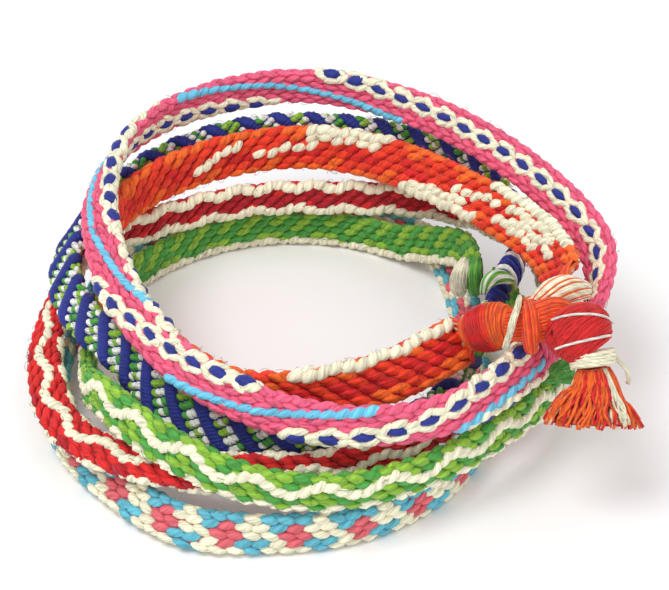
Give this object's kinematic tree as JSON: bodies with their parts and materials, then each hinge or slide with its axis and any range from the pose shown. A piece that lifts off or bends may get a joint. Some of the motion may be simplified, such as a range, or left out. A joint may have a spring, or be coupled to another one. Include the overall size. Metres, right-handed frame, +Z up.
{
  "type": "stack of braided bracelets",
  "caption": "Stack of flat braided friendship bracelets in bright yarns, knotted at one side and finished with an orange knot and tassel.",
  "frame": {"origin": "under the middle of the stack's bounding box, on the surface it rests on", "axes": "+Z up; +X towards the knots, +Y away from the front"},
  "size_m": [0.075, 0.0736, 0.0257],
  "materials": {
    "rose_yarn": "matte",
    "green_yarn": "matte",
    "red_yarn": "matte",
    "blue_yarn": "matte",
    "orange_yarn": "matte",
    "pink_yarn": "matte",
    "cream_yarn": "matte"
  },
  "bodies": {
    "rose": {"rose_band": "rose_yarn", "rose_knot": "rose_yarn"},
    "green": {"green_band": "green_yarn", "green_knot": "green_yarn", "green_knot_cream_wrap": "cream_yarn", "green_tail": "green_yarn"},
    "red": {"red_band": "red_yarn", "red_knot": "red_yarn"},
    "blue": {"blue_band": "blue_yarn", "blue_knot": "blue_yarn", "blue_knot_wrap": "cream_yarn"},
    "orange": {"orange_band": "orange_yarn", "orange_left_lobe": "orange_yarn", "orange_middle_lobe": "orange_yarn", "orange_fan": "orange_yarn", "orange_barrel": "orange_yarn", "orange_cross_strand": "cream_yarn", "binding_neck": "orange_yarn", "binding": "cream_yarn", "binding_loose_end": "cream_yarn"},
    "pink": {"pink_band": "pink_yarn", "pink_knot": "pink_yarn"},
    "tassel": {"tassel": "orange_yarn"}
  },
  "joints": [
    {"name": "green_lift", "type": "hinge", "parent": "rose", "child": "green", "pos_m": [0.03093, 0.0036, 0.00385], "axis": [0, 1, 0], "range_deg": [0, 12]},
    {"name": "red_lift", "type": "hinge", "parent": "green", "child": "red", "pos_m": [-0.01757, -0.0294, 0.00685], "axis": [0.867, -0.4983, 0], "range_deg": [0, 5]},
    {"name": "blue_lift", "type": "hinge", "parent": "red", "child": "blue", "pos_m": [0.02643, 0.0036, 0.01185], "axis": [0, 1, 0], "range_deg": [0, 12]},
    {"name": "orange_lift", "type": "hinge", "parent": "blue", "child": "orange", "pos_m": [0.03043, 0.0036, 0.00385], "axis": [0, 1, 0], "range_deg": [0, 10]},
    {"name": "pink_lift", "type": "hinge", "parent": "orange", "child": "pink", "pos_m": [0.03193, -0.0124, 0.01685], "axis": [0.5708, 0.8211, 0], "range_deg": [0, 12]},
    {"name": "tassel_swing", "type": "hinge", "parent": "orange", "child": "tassel", "pos_m": [0.03178, -0.02535, 0.018], "axis": [-0.16, 0.5729, 0.8039], "range_deg": [-12, 12]}
  ]
}
